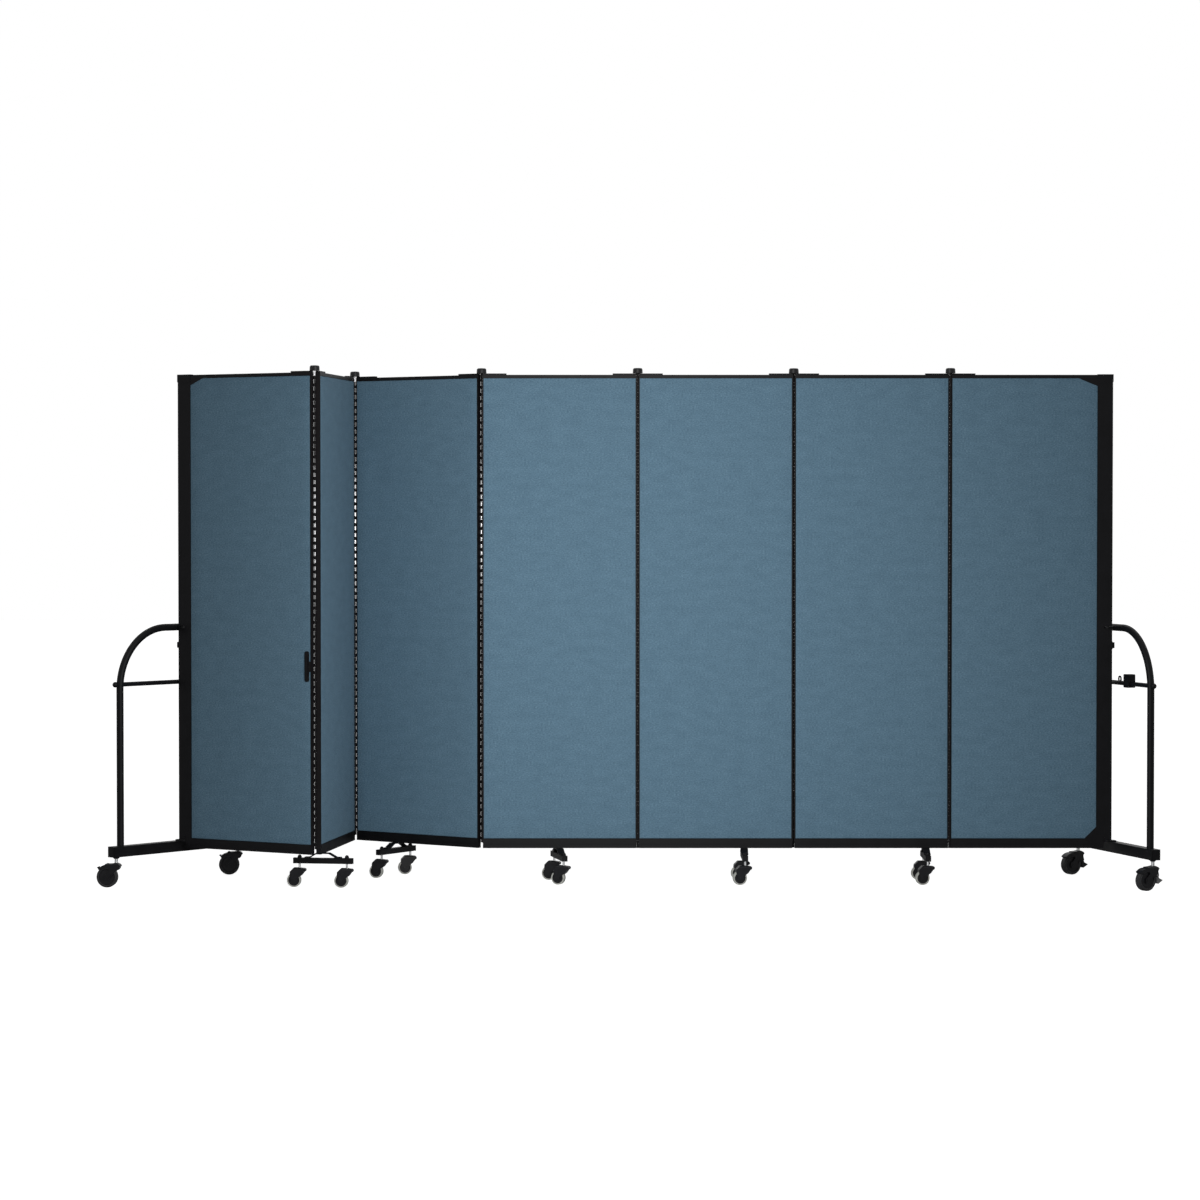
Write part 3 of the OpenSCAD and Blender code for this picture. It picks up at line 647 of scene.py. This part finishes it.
def make_casters():
    for k in range(2, 7):
        for side in ("front", "back"):
            tag = f"{k}_{side}"
            node = f"caster_wheel_{tag}"
            wheel_pieces(tag, node, f"roll_{tag}", node, SMALL_WHEEL_R, SMALL_WHEEL_W, SMALL_TREAD,
                         SMALL_BORE_R, TREAD_GREY)
            dress_fork(f"caster_fork_{tag}", f"caster_fork_{tag}", f"swivel_{tag}", SMALL_STEM_R,
                       SMALL_STEM_LOW)
    for end in ("left", "right"):
        for side in ("front", "back"):
            tag = f"{end}_{side}"
            node = f"end_wheel_{tag}"
            wheel_pieces(tag, node, f"end_roll_{tag}", node, LARGE_WHEEL_R, LARGE_WHEEL_W, LARGE_TREAD,
                         LARGE_BORE_R, TREAD_DARK)
            dress_fork(f"end_fork_{tag}", f"end_fork_{tag}", f"end_swivel_{tag}", LARGE_STEM_R,
                       LARGE_STEM_LOW)
            make_stem_collar(tag, f"end_frame_{end}", f"end_swivel_{tag}")
            paint(f"brake_pedal_{tag}", PEDAL_GREY if tag == "right_front" else HOOD_BLACK)
            soften(NODES[f"brake_pedal_{tag}"], SOFT_EDGE)


# ---------------------------------------------------------------- camera, floor and lights

# The photograph's frame is square. These are its side, its focal length and its horizon in pixels
PHOTO_PX = 1200
FOCAL_PX = 3500
HORIZON_Y = 510.7
CAMERA_AT = Vector((-0.0986, -12.610, 1.3407))
SENSOR = 36
FLOOR_SIZE = 60
FLOOR_GLOW = 0.9
WORLD_LIGHT = 0.15
WHITE = (1, 1, 1, 1)


def make_camera():
    camera = bpy.data.objects.new("camera", bpy.data.cameras.new("camera"))
    bpy.context.scene.collection.objects.link(camera)
    camera.data.sensor_width = SENSOR
    camera.data.sensor_fit = "HORIZONTAL"
    camera.data.lens = SENSOR * FOCAL_PX / PHOTO_PX
    camera.data.clip_end = 100
    drop = math.atan((PHOTO_PX / 2 - HORIZON_Y) / FOCAL_PX)
    camera.location = CAMERA_AT
    camera.rotation_euler = (math.pi / 2 - drop, 0, 0)
    bpy.context.scene.camera = camera


def make_floor():
    """A pale floor, which shows its own colour to the camera and glows a little for every other ray."""
    bpy.ops.mesh.primitive_plane_add(size=FLOOR_SIZE, location=(0, 0, 0))
    floor = bpy.context.object
    floor.name = "floor"
    mat, tree, shader = new_material("pale_floor", (0.86, 0.86, 0.86), 0.95)
    path = tree.nodes.new("ShaderNodeLightPath")
    glow = tree.nodes.new("ShaderNodeEmission")
    glow.inputs["Color"].default_value = WHITE
    glow.inputs["Strength"].default_value = FLOOR_GLOW
    out = tree.nodes["Material Output"]
    both = tree.nodes.new("ShaderNodeAddShader")
    switch = tree.nodes.new("ShaderNodeMixShader")
    tree.links.new(path.outputs["Is Camera Ray"], switch.inputs["Fac"])
    tree.links.new(shader.outputs["BSDF"], switch.inputs[1])
    tree.links.new(shader.outputs["BSDF"], both.inputs[0])
    tree.links.new(glow.outputs["Emission"], both.inputs[1])
    tree.links.new(both.outputs["Shader"], switch.inputs[2])
    tree.links.new(switch.outputs["Shader"], out.inputs["Surface"])
    floor.data.materials.append(mat)


def add_lamp(name, at, aim, width, height, power):
    """A soft box that the camera doesn't see."""
    lamp = bpy.data.objects.new(name, bpy.data.lights.new(name, "AREA"))
    bpy.context.scene.collection.objects.link(lamp)
    lamp.data.shape = "RECTANGLE"
    lamp.data.size = width
    lamp.data.size_y = height
    lamp.data.energy = power
    lamp.location = at
    lamp.rotation_euler = (Vector(aim) - Vector(at)).to_track_quat("-Z", "Y").to_euler()
    lamp.visible_camera = False


def make_light():
    world = bpy.data.worlds.new("studio")
    bpy.context.scene.world = world
    world.use_nodes = True
    tree = world.node_tree
    background = tree.nodes["Background"]
    background.inputs["Color"].default_value = WHITE
    path = tree.nodes.new("ShaderNodeLightPath")
    seen = add_math(tree, "MAXIMUM", path.outputs["Is Camera Ray"], path.outputs["Is Glossy Ray"])
    strength = add_range(tree, seen, WORLD_LIGHT, 1.0)
    tree.links.new(strength, background.inputs["Strength"])
    # a tall soft box before panel 4, so that the light falls off towards both ends as in the photograph
    add_lamp("key", at=(-0.1, -2.4, 1.5), aim=(-0.1, 0, 1.2), width=0.8, height=2.8, power=60)


make_camera()
make_fabrics()
dress_frames()
make_knobs()
dress_hinges()
make_barrel_ends()
make_collar_sleeves()
make_casters()
make_floor()
make_light()
bpy.context.scene.view_settings.view_transform = "Standard"
